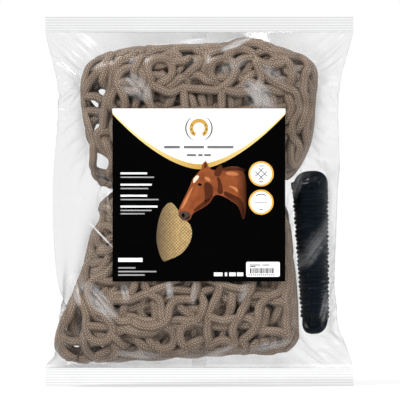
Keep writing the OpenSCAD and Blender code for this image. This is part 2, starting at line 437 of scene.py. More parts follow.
# Painted highlights: soft white streaks and patches standing in for light reflected where the film is
# stretched or folded over the net and the rope.
GLINTS = ((-52, 250, 18, 11, -40, 0.10), (50, 243, 20, 12, -45, 0.12), (28, 268, 16, 7, 20, 0.05),
          (62, 262, 15, 6, -35, 0.06), (-5, 289, 16, 3, 4, 0.16), (30, 286, 16, 3, 22, 0.18),
          (-81, 126, 19, 1.1, -46, 0.36), (-104, 82, 18, 4, -76, 0.10), (-84, 72, 26, 9, -48, 0.10),
          (-25, 82, 10, 4, -80, 0.14), (-62, 79, 11, 4, -75, 0.08), (-5, 78, 12, 3, 85, 0.08),
          (37, 80, 12, 4, 70, 0.08), (-50, 27, 24, 4, -4, 0.10), (15, 28, 16, 4, 25, 0.12),
          (60, 35, 22, 4, 12, 0.10), (98, 120, 40, 9, 54, 0.035), (97, 118, 34, 2.6, 54, 0.06),
          (80, 168, 16, 6, 72, 0.06), (106, 70, 18, 5, 76, 0.05))
front_film = film_paint("front_film", 0.967, 0.66, 0.10, glints=GLINTS)
back_film = film_paint("back_film", 0.967, 0.66, 0.10)
seam_film = film_paint("seam_film", 0.992, 0.88, 0.02)
seal_film = film_paint("seal_film", 0.965, 0.62, 0.06, RIB_PITCH)


# ---------------------------------------------------------------- the net's lumps

# The braided cord as it lies, pressed flat, and the length of one bar of the mesh, in mm.
CORD_W = 7.1
CORD_T = 4.8
CORD_STEP = 1.75
BAR = 29.0
# While the net is pressed its cords are this thick, and all depths are stretched to suit.
PRESSED_W = 6.3
CORD_STRETCH = 1.85
# The depth at which each fold of the sheet lies, from the front to the back.
FOLD_DEPTHS = np.array([-1, -0.94, -0.88, -0.81, -0.72, -0.58, -0.38, -0.13, 0.13,
                        0.38, 0.58, 0.72, 0.81, 0.88, 0.94, 1]) * (CROWN - CORD_T / 2)
CORD_SIDES = {"front": 12, "core": 8, "back": 12}
FOLD_NAMES = tuple(CORD_SIDES)
BAR_PARTS = 6
SMALLEST_LAYER = 0.55
LAID_WITHIN = 0.97
LAID_JITTER = 0.4
# The pressing: its steps, the share of them in which the cords grow, how often and how far
# each point looks for others, and how hard it is pushed.
PRESS_STEPS = 200
GROWING = 0.55
LOOK_EVERY = 6
LOOK_WITHIN = 1.3
ROUNDS = 3
BEND_PULL = 0.8
OVERSHOOT = 1.5
SWELL = 0.004
# Points this many steps apart along a cord stay at least so many step lengths apart.
STIFFNESS = ((2, 1.98), (3, 2.94), (4, 3.86))

# The frame's lumps stop short of the waist so that it can fold; the soft net fills it.
WAIST_EDGE = UPPER_CORE[0][2] - WAIST_Z
WAIST_FILL = WAIST_EDGE - 1.2
WAIST_FADE = 14
RIM_NEAR = 0.5
DEPTH_SPARE = 0.8


class Lump:
    """One lump of folded net: an outline in x and z that shrinks towards its faces.

    Depths are stretched by CORD_STRETCH while the net is pressed, so that round cords
    pack as flattened ones do.
    """

    POWER, ROOT = 5, 3

    def __init__(self, core_node, centre, corners, holes):
        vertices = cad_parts[core_node].data.vertices
        points = np.array([v.co for v in vertices]) / MM
        rim = points[np.abs(points[:, 1]) < RIM_NEAR]
        height = rim[:, 2] - WAIST_Z
        rim[:, 2] -= np.sign(height) * WAIST_FILL * np.exp(-(np.abs(height) - WAIST_EDGE) / WAIST_FADE)
        self.centre = np.array(centre, float)
        offset = rim[:, [0, 2]] - self.centre
        angle = np.arctan2(offset[:, 1], offset[:, 0])
        order = np.argsort(angle)
        self.angles = angle[order]
        self.radii = np.hypot(*offset.T)[order]
        for degrees, amount, spread in corners:
            away = (np.degrees(self.angles) - degrees + 180) % 360 - 180
            self.radii += amount * np.exp(-(away / spread) ** 2)
        self.depth = CROWN + DEPTH_SPARE
        self.holes = holes

    def radius(self, angle):
        return np.interp(angle, self.angles, self.radii, period=2 * np.pi)

    def scale(self, depth):
        share = np.minimum(np.abs(depth) / self.depth, 0.999)
        return (1 - share ** self.POWER) ** (1 / self.ROOT)

    def polar(self, points):
        dx = points[:, 0] - self.centre[0]
        dz = points[:, 2] - self.centre[1]
        return dx, dz, self.radius(np.arctan2(dz, dx)), np.hypot(dx, dz) + 1e-9

    def keep_open(self, points):
        """Pushes points out of the few places where one sees right through the lump."""
        for x, z, radius in self.holes:
            dx, dz = points[:, 0] - x, points[:, 2] - z
            distance = np.hypot(dx, dz) + 1e-6
            short = np.maximum(radius + PRESSED_W / 2 - distance, 0) / distance
            points[:, 0] += dx * short
            points[:, 2] += dz * short

    def confine(self, points):
        """Moves points that stick out of the lump back to its surface."""
        self.keep_open(points)
        edge = PRESSED_W / 2
        depth = self.depth - edge / CORD_STRETCH
        limit = CROWN - edge / CORD_STRETCH
        y = np.clip(points[:, 1] / CORD_STRETCH, -limit, limit)
        dx, dz, radius, distance = self.polar(points)
        out = distance / (radius - edge)
        deep = np.abs(y) / depth
        excess = out ** self.ROOT + deep ** self.POWER - 1
        slope_out = self.ROOT * out ** (self.ROOT - 1)
        slope_deep = self.POWER * deep ** (self.POWER - 1)
        steep = slope_out ** 2 + slope_deep ** 2 + 1e-9
        step = np.where(excess > 0, excess / steep, 0)
        share = (out - step * slope_out) / out
        points[:, 0] = self.centre[0] + dx * share
        points[:, 2] = self.centre[1] + dz * share
        points[:, 1] = np.sign(y) * (deep - step * slope_deep) * depth * CORD_STRETCH

    def flat_way(self, points):
        """The direction a cord is pressed flat in: front to back, but outwards at the sides."""
        dx, dz, radius, distance = self.polar(points)
        out = np.clip((distance / radius - 0.8) / 0.2, 0, 1) ** 2
        out *= np.clip(1 - (np.abs(points[:, 1]) / self.depth) ** 2, 0, 1)
        outward = np.stack([dx, np.zeros_like(dx), dz], 1) / distance[:, None]
        return out[:, None] * outward + (1 - out)[:, None] * np.array([0, -1.0, 0])


def near_pairs(points, reach):
    """Every pair of points closer than reach, found through a grid of cells."""
    cell = np.floor((points - points.min(0)) / reach).astype(np.int64) + 1
    size = cell.max(0) + 2
    key = (cell[:, 0] * size[1] + cell[:, 1]) * size[2] + cell[:, 2]
    order = np.argsort(key, kind="stable")
    ranked = key[order]
    firsts, seconds = [], []
    steps = [(0, 0, 0), (0, 0, 1), (0, 1, -1), (0, 1, 0), (0, 1, 1)]
    steps += [(1, a, b) for a in (-1, 0, 1) for b in (-1, 0, 1)]
    for dx, dy, dz in steps:
        wanted = key + (dx * size[1] + dy) * size[2] + dz
        low = np.searchsorted(ranked, wanted, "left")
        count = np.searchsorted(ranked, wanted, "right") - low
        first = np.repeat(np.arange(len(points)), count)
        step = np.arange(count.sum()) - np.repeat(np.cumsum(count) - count, count)
        second = order[np.repeat(low, count) + step]
        if (dx, dy, dz) == (0, 0, 0):
            once = first < second
            first, second = first[once], second[once]
        firsts.append(first)
        seconds.append(second)
    first, second = np.concatenate(firsts), np.concatenate(seconds)
    near = ((points[first] - points[second]) ** 2).sum(1) < reach * reach
    return first[near], second[near]


def cut_net(half_width, length, lean):
    """A strip of square mesh: its points, and its cords as lists of point numbers."""
    way_a = BAR * np.array([np.cos(np.pi / 4 + lean), np.sin(np.pi / 4 + lean)])
    way_b = BAR * np.array([np.cos(np.pi / 4 - lean), -np.sin(np.pi / 4 - lean)])
    reach = int(length / BAR) + 6
    steps = np.arange(-reach, reach + 1)
    a, b = np.meshgrid(steps, steps, indexing="ij")
    joints = a[..., None] * way_a + b[..., None] * way_b + rng.uniform(-0.5, 0.5, 2) * BAR
    inside = np.abs(joints[..., 1]) < length / 2
    inside &= np.abs(joints[..., 0]) < half_width(joints[..., 1])
    while True:
        bars = np.zeros(inside.shape, int)
        bars[1:] += inside[:-1]
        bars[:-1] += inside[1:]
        bars[:, 1:] += inside[:, :-1]
        bars[:, :-1] += inside[:, 1:]
        loose = inside & (bars < 2)
        if not loose.any():
            break
        inside &= ~loose
    number = np.full(inside.shape, -1)
    number[inside] = np.arange(inside.sum())
    base = joints[inside]
    points, cords = [base], []
    count = len(base)
    share = np.arange(1, BAR_PARTS)[:, None] / BAR_PARTS
    for line in list(number) + list(number.T):
        cord = []
        for joint in list(line) + [-1]:
            if joint < 0:
                if len(cord) > 1:
                    cords.append(np.array(cord))
                cord = []
                continue
            if cord:
                points.append(base[cord[-1]] + (base[joint] - base[cord[-1]]) * share)
                cord += list(range(count, count + BAR_PARTS - 1))
                count += BAR_PARTS - 1
            cord.append(joint)
    return np.concatenate(points), cords


def ruffle(flat, amounts):
    """Shifts the points of a sheet by smooth random waves."""
    moved = flat.copy()
    for amount, wave in zip(amounts, (110.0, 55.0, 28.0)):
        for _ in range(5):
            way = unit(rng.normal(size=2))
            turn = unit(rng.normal(size=2)) * 2 * np.pi / wave
            push = amount * 0.6 * np.sin(flat @ turn + rng.uniform(0, 2 * np.pi))
            moved += way * push[:, None]
    return moved


def lay_net(lump, lean, wide, tall, amounts):
    """Folds one strip of net to and fro through the lump's depths and presses it in.

    wide and tall are the strip's width and the height of its folds against the lump's own.
    """
    width = lump.radius(np.pi) + lump.radius(0.0)
    height = lump.radius(np.pi / 2) + lump.radius(-np.pi / 2)
    size = np.maximum(lump.scale(FOLD_DEPTHS), SMALLEST_LAYER)
    layer_len = height * tall * size
    edges = np.r_[0, np.cumsum(layer_len)] - layer_len.sum() / 2
    length = layer_len.sum()

    def layer_at(v):
        return np.clip(np.searchsorted(edges, v, side="right") - 1, 0, len(FOLD_DEPTHS) - 1)

    flat, cords = cut_net(lambda v: width * wide / 2 * size[layer_at(v)], length, lean)
    bent = ruffle(flat, amounts)
    v = np.clip(bent[:, 1], -length / 2 + 0.01, length / 2 - 0.01)
    layer = layer_at(v)
    part = (v - edges[layer]) / layer_len[layer]
    depth = np.interp(layer + part, np.arange(len(FOLD_DEPTHS)) + 0.5, FOLD_DEPTHS)
    climb = 2 * np.where(layer % 2 == 0, part, 1 - part) - 1
    across = np.clip(bent[:, 0] / (width * wide / 2 * size[layer]), -1, 1)
    angle = np.arctan2(climb * height, across * width)
    reach = np.maximum(np.abs(across), np.abs(climb)) * LAID_WITHIN
    reach *= lump.radius(angle) * lump.scale(depth)
    points = np.stack([lump.centre[0] + reach * np.cos(angle), depth * CORD_STRETCH,
                       lump.centre[1] + reach * np.sin(angle)], 1)
    points += rng.normal(scale=LAID_JITTER, size=points.shape)
    lump.confine(points)
    press_net(lump, points, cords)
    points[:, 1] /= CORD_STRETCH
    return points, cords


def press_net(lump, points, cords):
    """Lets the cords reach their own length, resist sharp bends and push one another away.

    The cords start a little short and thin, and grow to their size over the first half.
    """
    count = len(points)

    def along(step):
        pairs = [np.stack([c[:-step], c[step:]], 1) for c in cords if len(c) > step]
        return np.unique(np.sort(np.concatenate(pairs), 1), axis=0)

    bars = along(1)
    bends = [(along(step), least) for step, least in STIFFNESS]
    joined = [set() for _ in range(count)]
    for a, b in bars:
        joined[a].add(b)
        joined[b].add(a)
    close = sorted({a * count + c for a in range(count) for b in joined[a]
                    for c in joined[b] | {b} if c != a})
    close = np.array(close)

    def push(first, second, want, least_only, share):
        gap = points[second] - points[first]
        length = np.sqrt((gap * gap).sum(1)) + 1e-9
        error = length - want
        if least_only:
            short = error < 0
            first, second, gap = first[short], second[short], gap[short]
            length, error = length[short], error[short]
        move = gap * (0.5 * share * error / length)[:, None]
        shared = np.bincount(first, minlength=count) + np.bincount(second, minlength=count)
        for axis in range(3):
            total = np.bincount(first, weights=move[:, axis], minlength=count)
            total -= np.bincount(second, weights=move[:, axis], minlength=count)
            points[:, axis] += OVERSHOOT * total / np.maximum(shared, 1)

    for step in range(PRESS_STEPS):
        grown = min(1.0, step / (PRESS_STEPS * GROWING))
        rest = BAR / BAR_PARTS * (0.9 + 0.1 * grown)
        apart = PRESSED_W * (0.3 + 0.7 * min(1.0, grown * 1.1))
        if step % LOOK_EVERY == 0:
            first, second = near_pairs(points, PRESSED_W * LOOK_WITHIN)
            apart_pair = ~np.isin(first * count + second, close)
            first, second = first[apart_pair], second[apart_pair]
        points[:, [0, 2]] += SWELL * (1 - grown) * (points[:, [0, 2]] - lump.centre)
        for _ in range(ROUNDS):
            push(bars[:, 0], bars[:, 1], rest, False, 1.0)
            for pairs, least in bends:
                push(pairs[:, 0], pairs[:, 1], rest * least, True, BEND_PULL)
            push(first, second, apart, True, 1.0)
            lump.confine(points)


def smooth_cord(points, spacing):
    """An evenly spaced smooth curve through the points."""
    ends = with_ends(points)
    a, b, c, d = ends[:-3], ends[1:-2], ends[2:-1], ends[3:]
    curve = []
    for t in np.linspace(0, 1, 8, endpoint=False):
        curve.append(0.5 * (2 * b + (c - a) * t + (2 * a - 5 * b + 4 * c - d) * t ** 2
                            + (3 * b - a - 3 * c + d) * t ** 3))
    curve = np.concatenate([np.stack(curve, 1).reshape(-1, 3), points[-1:]])
    along = length_along(curve)
    places = np.linspace(0, along[-1], max(3, int(along[-1] / spacing) + 1))
    return np.stack([np.interp(places, along, curve[:, axis]) for axis in range(3)], 1)


# Gaps right through the net near its left side, as (x, z, radius).
UPPER_HOLES = ((-81.2, 246.5, 3.4), (-86.6, 237.6, 2.0), (-84.5, 219.0, 1.8),
               (-78.0, 189.5, 2.4), (-78.0, 184.0, 2.4))
LOWER_HOLES = ((-85.3, 142.0, 2.6), (-103.0, 33.5, 1.8), (-81.0, 33.5, 1.4))
# Where the net pushes out past the rounded outline, as (degrees, mm, spread in degrees).
UPPER_CORNERS = ((159, 8.0, 12), (52, 4.0, 9), (21, 7.0, 10), (-147, 8.0, 12))
LOWER_CORNERS = ((-150, 8.5, 12), (-34, 6.0, 9), (130, 8.0, 11))

upper_lump = Lump("net_upper_core_fold", (0, WAIST_Z + 66), UPPER_CORNERS, UPPER_HOLES)
lower_lump = Lump("net_lower_core_fold", (-12, WAIST_Z - 76), LOWER_CORNERS, LOWER_HOLES)
upper_net = lay_net(upper_lump, np.radians(42), 1.08, 1.10, (6, 3, 1))
lower_net = lay_net(lower_lump, np.radians(50), 1.16, 1.16, (8, 4, 1.5))

solid_points = []


def net_pieces(lump, net, part):
    """Skins a lump's cords, sorted into the folds they lie in."""
    points, cords = net
    skins = {name: Skin(sides) for name, sides in CORD_SIDES.items()}
    for cord in cords:
        path = smooth_cord(points[cord], CORD_STEP)
        thin = running_mean(lump.flat_way(path), 3)
        depth = running_mean(path[:, 1:2], 5)[:, 0]
        fold = (depth > -CORE_HALF).astype(int) + (depth > CORE_HALF)
        starts = np.r_[0, np.flatnonzero(np.diff(fold)) + 1, len(path)]
        for low, high in zip(starts[:-1], starts[1:]):
            ends = slice(max(0, low - 1), min(len(path), high + 1))
            if ends.stop - ends.start < 3:
                continue
            skins[FOLD_NAMES[fold[low]]].add(path[ends], thin[ends], CORD_W, CORD_T, low * CORD_STEP)
    for name, skin in skins.items():
        piece = skin.piece(f"net_{part}_{name}_cords", net_cord)
        solid_points.append(np.concatenate(skin.points))
        attach(piece, "net_cord", f"net_{part}_{name}_fold")


net_pieces(upper_lump, upper_net, "upper")
net_pieces(lower_lump, lower_net, "lower")

WAIST_CORDS = 8
WAIST_SPAN = 104
WAIST_REACH, WAIST_NECK = 20, 7
waist_skin = Skin(CORD_SIDES["front"])
for k in range(WAIST_CORDS):
    x = WAIST_SPAN * (k / (WAIST_CORDS - 1) - 0.5) + rng.uniform(-4, 4)
    y = rng.uniform(-12, 12)
    sway = rng.uniform(-6, 6)
    knots = np.array([[x - sway, y, WAIST_Z + WAIST_REACH], [x, y + 2, WAIST_Z + WAIST_NECK],
                      [x + sway / 2, y - 1, WAIST_Z - WAIST_NECK],
                      [x + sway, y, WAIST_Z - WAIST_REACH]])
    path = smooth_cord(knots, CORD_STEP)
    waist_skin.add(path, np.tile([0, -1.0, 0], (len(path), 1)), CORD_W * 0.9, CORD_T)
waist_piece = waist_skin.piece("net_waist_cords", net_cord)
solid_points.append(np.concatenate(waist_skin.points))
attach(waist_piece, "net_cord", "net_waist_cords_upper", "net_waist_cords_lower")


# ---------------------------------------------------------------- the rope hank

# The hank leans a little and tapers: R_TOP and R_BOTTOM are its radii, in mm.
ROPE_D = 3.6
TURN_COUNT = 31
HANK_LEAN = np.radians(2.2)
HANK_MID = (TURNS[0] + TURNS[1]) / 2
WINDING = (TURNS[1][2] - TURNS[0][2] - ROPE_D) / np.cos(HANK_LEAN) - 1.0
R_TOP = 13.4
R_BOTTOM = 10.2
HANK_SQUASH = 0.97
TURN_POINTS = 48
ROPE_SIDES = 10
LOOP_BULGE = 0.75
NESTING = 1.08


def hank_place(points):
    """Leans and moves points given about the hank's own axis to their place."""
    x = points[:, 0] * np.cos(HANK_LEAN) - points[:, 2] * np.sin(HANK_LEAN)
    z = points[:, 0] * np.sin(HANK_LEAN) + points[:, 2] * np.cos(HANK_LEAN)
    return np.stack([x, points[:, 1], z], 1) + HANK_MID


def hank_skin(paths, sides=ROPE_SIDES):
    skin = Skin(sides)
    for path in paths:
        outward = path - [column.mean() for column in path.T] + np.array([0, 1e-3, 0])
        skin.add(hank_place(path), outward, ROPE_D, ROPE_D)
    return skin


def winding_path():
    """One helix of rope, slightly uneven, wider at its top."""
    turn = np.linspace(0, TURN_COUNT - 1, (TURN_COUNT - 1) * TURN_POINTS)
    share = turn / (TURN_COUNT - 1)
    radius = R_BOTTOM + (R_TOP - R_BOTTOM) * share
    radius = radius + 0.25 * np.sin(turn * 1.7) + 0.2 * np.sin(turn * 4.3)
    angle = 2 * np.pi * turn
    height = WINDING * (share - 0.5) + 0.25 * np.sin(angle + turn)
    return np.stack([radius * np.cos(angle), radius * np.sin(angle) * HANK_SQUASH, height], 1)


def end_loops(radius, end, rows, height, shift):
    """Bights of rope standing out of one end of the winding, nested in rows."""
    paths = []
    for row in rows:
        widest = np.sqrt(max(radius ** 2 - row ** 2, 4))
        for reach in np.arange(widest, 1.0, -ROPE_D * NESTING):
            share = reach / radius
            turn = np.linspace(0, np.pi, 26)
            tip = height * share * rng.uniform(0.9, 1.08)
            flank = np.sign(np.cos(turn)) * np.abs(np.cos(turn)) ** LOOP_BULGE
            bulge = np.sin(turn) ** LOOP_BULGE
            bight = np.stack([reach * flank + shift * bulge,
                              row + 0.8 * np.sin(turn * 2 + row),
                              end * (WINDING / 2 + 1.5 + tip * bulge)], 1)
            leg = np.linspace(9, 0.5, 6)[:, None] * np.array([[0, 0, -end]])
            paths.append(np.concatenate([bight[:1] + leg, bight, bight[-1:] + leg[::-1]]))
    return paths


def strand_paths(radius_low, radius_high, count):
    """A ring of lengthwise strands inside the winding."""
    paths = []
    for k in range(count):
        angle = 2 * np.pi * k / count + 0.2
        share = np.linspace(0, 1, 24)
        radius = radius_low + (radius_high - radius_low) * share
        twist = angle + 0.5 * share
        paths.append(np.stack([radius * np.cos(twist), radius * np.sin(twist),
                               (WINDING - 4) * (share - 0.5)], 1))
    return paths


winding_skin = Skin(ROPE_SIDES)
winding = winding_path()
axis_way = winding * np.array([1, 1, 0])
winding_skin.add(hank_place(winding), axis_way, ROPE_D, ROPE_D)
top_skin = hank_skin(end_loops(R_TOP - 0.4, 1, (-7.5, -3.7, 0, 3.7, 7.5), 13.0, 1.4))
bottom_skin = hank_skin(end_loops(R_BOTTOM - 1.0, -1, (-5.6, -1.9, 1.9, 5.6), 11.0, -1.5))
strand_skin = hank_skin(strand_paths(R_BOTTOM - 4.2, R_TOP - 4.4, 12)
                        + strand_paths(3.0, 4.6, 6), 8)
cut_low = np.array([-R_TOP - 0.4, 0.5, WINDING / 2 + 2.2])
cut_skin = hank_skin([smooth_cord(np.array([cut_low + [3.5, 1, -3.2], cut_low,
                                            cut_low + [-0.5, -0.5, 5.5]]), 0.8)])
for skin, name in ((winding_skin, "rope_turns"), (top_skin, "rope_top_loops"),
                   (bottom_skin, "rope_bottom_loops"), (strand_skin, "rope_core_strands"),
                   (cut_skin, "rope_cut_end")):
    attach(skin.piece(name + "_wound", rope_cord), "rope_cord", name, body="rope_hank")

# The waist joint's limit.
WAIST_TURN = np.radians(20)
hank_points = np.concatenate(winding_skin.points + top_skin.points + bottom_skin.points)


def room_to_bend(points, turn):
    """Where film must lie at rest to be clear of the points once the waist has turned."""
    low, high = BEND_LOW[2] / MM, BEND_HIGH[2] / MM
    share = np.clip((points[:, 2] - low) / (high - low), 0, 1)
    weight = share ** 2 * (3 - 2 * share)
    moved = points.copy()
    moved[:, 1] += (points[:, 2] - WAIST_Z) * np.sin(turn * weight)
    return moved


# The film leaves room for the hank all along its slide, and for the bend of the waist.
SLIDES = (-14.0, -9.0, -4.5, 0.0, 5.0)
for slide in SLIDES:
    slid = hank_points + [0, 0, slide]
    solid_points.append(slid)
    if slide >= 0:
        solid_points += [room_to_bend(slid, turn) for turn in (-WAIST_TURN, WAIST_TURN)]


# ---------------------------------------------------------------- the bag's film

# The grid on which the film's sheets look up how far the contents reach.
FIELD_STEP = 1.25
FIELD_X = np.arange(-140, 141, FIELD_STEP)
FIELD_Z = np.arange(0, 313, FIELD_STEP)
FILM_GAP = 0.35
FILM_SLACK = 1.045
FILM_T = 0.12
FILM_COLUMNS = 104
FILM_ROWS = 112
FILM_STEPS = 700
CREASING = 0.3
DRAWN_IN = 0.006
# How much of its error each kind of link in the film takes up in a step.
EDGE_PULL, DIAGONAL_PULL, STIFF_PULL = 0.9, 0.5, 0.35
STRAIGHT = 0.97


def neighbours(field, gather):
    """Each cell's maximum or mean over itself and its eight neighbours."""
    padded = np.pad(field, 1, mode="edge")
    rows, columns = field.shape
    stack = [padded[j:j + rows, i:i + columns] for j in range(3) for i in range(3)]
    return gather(np.stack(stack), axis=0)


def reach_grid(points, side, xs, zs, cell):
    """How far points reach towards one side (-1 front, 1 back), on a grid over x and z."""
    field = np.zeros((len(zs), len(xs)))
    i = np.round((points[:, 0] - xs[0]) / cell).astype(int)
    j = np.round((points[:, 2] - zs[0]) / cell).astype(int)
    inside = (i >= 0) & (i < len(xs)) & (j >= 0) & (j < len(zs))
    np.maximum.at(field, (j[inside], i[inside]), side * points[inside, 1])
    return field


def bilinear(field, i, j):
    """The field's value at fractional column i and row j."""
    i = np.clip(i, 0, field.shape[1] - 1.001)
    j = np.clip(j, 0, field.shape[0] - 1.001)
    i0, j0 = i.astype(int), j.astype(int)
    u, v = i - i0, j - j0
    low = field[j0, i0] * (1 - u) + field[j0, i0 + 1] * u
    high = field[j0 + 1, i0] * (1 - u) + field[j0 + 1, i0 + 1] * u
    return low * (1 - v) + high * v


def sample(field, x, z):
    """A field over FIELD_X and FIELD_Z, at any points."""
    return bilinear(field, (x - FIELD_X[0]) / FIELD_STEP, (z - FIELD_Z[0]) / FIELD_STEP)


def settle(points, first, second, rest, share, least_only=False):
    """Moves two matching sets of grid points towards their distance at rest."""
    gap = points[second] - points[first]
    length = np.sqrt((gap * gap).sum(-1, keepdims=True)) + 1e-9
    error = length - rest
    if least_only:
        error = np.minimum(error, 0)
    move = gap * (0.5 * share * error / length)
    points[first] += move
    points[second] -= move


def taut(places, heights):
    """The line a tight string takes over the heights."""
    hull = []
    for x, y in zip(places, heights):
        while len(hull) > 1:
            (xa, ya), (xb, yb) = hull[-2:]
            if (xb - xa) * (y - ya) < (yb - ya) * (x - xa):
                break
            hull.pop()
        hull.append((x, y))
    hull_x, hull_y = np.array(hull).T
    return np.interp(places, hull_x, hull_y)


def taut_start(fields, heights, columns):
    """Both sheets drawn tight over the contents, row by row; the sides come in to suit."""
    tented = []
    span = (FIELD_Z > FILM_BOTTOM) & (FIELD_Z < FILM_TOP)
    for field in fields:
        tent = np.zeros_like(field)
        for i in range(len(FIELD_X)):
            column = np.r_[0, field[span, i], 0]
            places = np.r_[FILM_BOTTOM, FIELD_Z[span], FILM_TOP]
            tent[span, i] = taut(places, column)[1:-1]
        tented.append(tent)
    sheets = np.zeros((2, len(heights), columns + 1, 3))
    for j, z in enumerate(heights):
        near, far = 0.8 * BAG_HALF_W, BAG_HALF_W
        for _ in range(10):
            half = (near + far) / 2
            x = np.linspace(-half, half, 91)
            lines = []
            for tent in tented:
                y = sample(tent, x, np.full_like(x, z))
                y[[0, -1]] = 0
                lines.append(taut(x, y))
            lengths = [np.hypot(np.diff(x), np.diff(y)).sum() for y in lines]
            if sum(lengths) > 4 * BAG_HALF_W:
                far = half
            else:
                near = half
        for k, (y, side) in enumerate(zip(lines, (-1, 1))):
            along = np.r_[0, np.cumsum(np.hypot(np.diff(x), np.diff(y)))]
            even = np.linspace(0, along[-1], columns + 1)
            sheets[k, j] = np.stack([np.interp(even, along, x), side * np.interp(even, along, y),
                                     np.full(columns + 1, z)], 1)
    for edge in (0, -1):
        sheets[:, edge, :, 0] = np.linspace(-BAG_HALF_W, BAG_HALF_W, columns + 1)
        sheets[:, edge, :, 1] = 0
    return sheets


def film_sheets(columns, rows):
    """The front and back of the bag: a tube of film, shut flat at both seals."""
    every = slice(None)
    contents = np.concatenate(solid_points)
    fields = [neighbours(reach_grid(contents, side, FIELD_X, FIELD_Z, FIELD_STEP), np.max) + FILM_GAP
              for side in (-1, 1)]
    flat_x = np.linspace(-BAG_HALF_W, BAG_HALF_W, columns + 1)
    flat_z = np.linspace(FILM_BOTTOM, FILM_TOP, rows + 1)
    step_x, step_z = flat_x[1] - flat_x[0], (flat_z[1] - flat_z[0]) * FILM_SLACK
    diagonal = np.hypot(step_x, step_z)
    sheets = taut_start(fields, flat_z, columns)
    sheets[:, 1:-1, 1:-1] += rng.normal(scale=CREASING, size=sheets[:, 1:-1, 1:-1].shape)
    seals = (sheets[:, 0].copy(), sheets[:, -1].copy())

    def links(count, stride):
        """Index pairs stride apart, in groups that share no point."""
        start = np.arange(count - stride)
        return [(start[start // stride % 2 == k], start[start // stride % 2 == k] + stride)
                for k in (0, 1)]

    for step in range(FILM_STEPS):
        late = step / FILM_STEPS
        sheets[..., 1] *= 1 - DRAWN_IN * (1 - late)
        for a, b in links(columns + 1, 1):
            settle(sheets, (every, every, a), (every, every, b), step_x, EDGE_PULL)
        for a, b in links(rows + 1, 1):
            settle(sheets, (every, a), (every, b), step_z, EDGE_PULL)
        for a, b in links(columns + 1, 1):
            for parity in (0, 1):
                j = np.arange(rows)[parity::2]
                for low, high in ((j, j + 1), (j + 1, j)):
                    settle(sheets, (every, low[:, None], a[None]), (every, high[:, None], b[None]),
                           diagonal, DIAGONAL_PULL)
        for a, b in links(columns + 1, 2):
            settle(sheets, (every, every, a), (every, every, b), 2 * step_x * STRAIGHT,
                   STIFF_PULL, True)
        for a, b in links(rows + 1, 2):
            settle(sheets, (every, a), (every, b), 2 * step_z * STRAIGHT, STIFF_PULL, True)
        for edge in (0, -1):
            sheets[:, :, edge] = (sheets[0, :, edge] + sheets[1, :, edge]) / 2
        for k, side in ((0, -1), (1, 1)):
            inner = sheets[k, :, 1:-1]
            reach = sample(fields[k], inner[..., 0], inner[..., 2])
            inner[..., 1] = side * np.maximum(side * inner[..., 1], reach)
        sheets[:, 0], sheets[:, -1] = seals
    return sheets


def finer(points):
    """A grid with a point added between each pair, on smooth curves."""
    for axis in (0, 1):
        points = np.moveaxis(points, axis, 0)
        ends = with_ends(points)
        between = (9 * (ends[1:-2] + ends[2:-1]) - ends[:-3] - ends[3:]) / 16
        fine = np.empty((2 * len(points) - 1,) + points.shape[1:])
        fine[0::2] = points
        fine[1::2] = between
        points = np.moveaxis(fine, 0, axis)
    return points


film = film_sheets(FILM_COLUMNS, FILM_ROWS)
for name, points, paint in (("front", film[0], front_film), ("back", film[1], back_film)):
    sheet = finer(points)
    half_film = grid_normals(sheet) * FILM_T / 2
    piece = shell(f"bag_{name}_film", sheet + half_film, sheet - half_film, paint)
    attach(piece, "clear_film", f"bag_{name}_film_upper", f"bag_{name}_film_lower")


def lay_on_back(x, z):
    """Depth of the back film at points inside the bag."""
    grid = film[1]
    distance = (grid[None, ..., 0] - x[:, None, None]) ** 2 + (grid[None, ..., 2] - z[:, None, None]) ** 2
    flat = distance.reshape(len(x), -1)
    nearest = np.argsort(flat, axis=1)[:, :4]
    weight = 1 / (np.take_along_axis(flat, nearest, 1) + 0.05)
    depth = grid[..., 1].ravel()[nearest]
    return (depth * weight).sum(1) / weight.sum(1)


SEAM_W = 12.0
SEAM_GAP = 0.45
seam_x = np.linspace(-SEAM_W / 2, SEAM_W / 2, 7)
seam_z = np.linspace(FILM_BOTTOM + 1, FILM_TOP - 1, 141)
grid_x, grid_z = np.meshgrid(seam_x, seam_z)
seam_y = lay_on_back(grid_x.ravel(), grid_z.ravel()).reshape(grid_x.shape)
seam_y = running_mean(seam_y, 1) + SEAM_GAP
seam_front = np.stack([grid_x, seam_y, grid_z], -1)
seam_back = np.stack([grid_x, seam_y + FILM_T, grid_z], -1)
seam_piece = shell("bag_lap_seam", seam_front, seam_back, seam_film)
attach(seam_piece, "clear_film", "bag_lap_seam_upper", "bag_lap_seam_lower")

RIB_DEPTH = 0.42
SEAL_T = 0.3


def seal_piece(name, low, high, hinge_z, body):
    """A crimped seal: both sheets pressed into one ribbed strip, flat at its hinge."""
    x, z = np.meshgrid(np.linspace(low[0], high[0], 173), np.linspace(low[2], high[2], 41))
    away = np.abs(z - hinge_z) / (high[2] - low[2])
    fade = np.clip(away * 6, 0, 1)
    ribs = RIB_DEPTH * np.sin(2 * np.pi * (z - low[2]) / RIB_PITCH) * fade
    wave = away * (0.9 * np.sin(x / 31) + 0.6 * np.sin(x / 13 + 1.3) + 0.3 * np.sin(x / 5.1))
    y = ribs + wave
    front = np.stack([x, y - SEAL_T / 2, z], -1)
    back = np.stack([x, y + SEAL_T / 2, z], -1)
    attach(shell(name + "_crimped", front, back, seal_film), "clear_film", name, body=body)


seal_piece("bag_top_seal", *TOP_SEAL, FILM_TOP, "top_flap")
seal_piece("bag_bottom_seal", *BOTTOM_SEAL, FILM_BOTTOM, "bottom_flap")


# ---------------------------------------------------------------- the label card

# The grid on which the card's bend is worked out; it takes up the film's small bumps.
CARD_CELL = 2.5
CARD_MARGIN = 10
CARD_SPREAD = 7
CARD_GAP = 0.1
CARD_T = 0.25


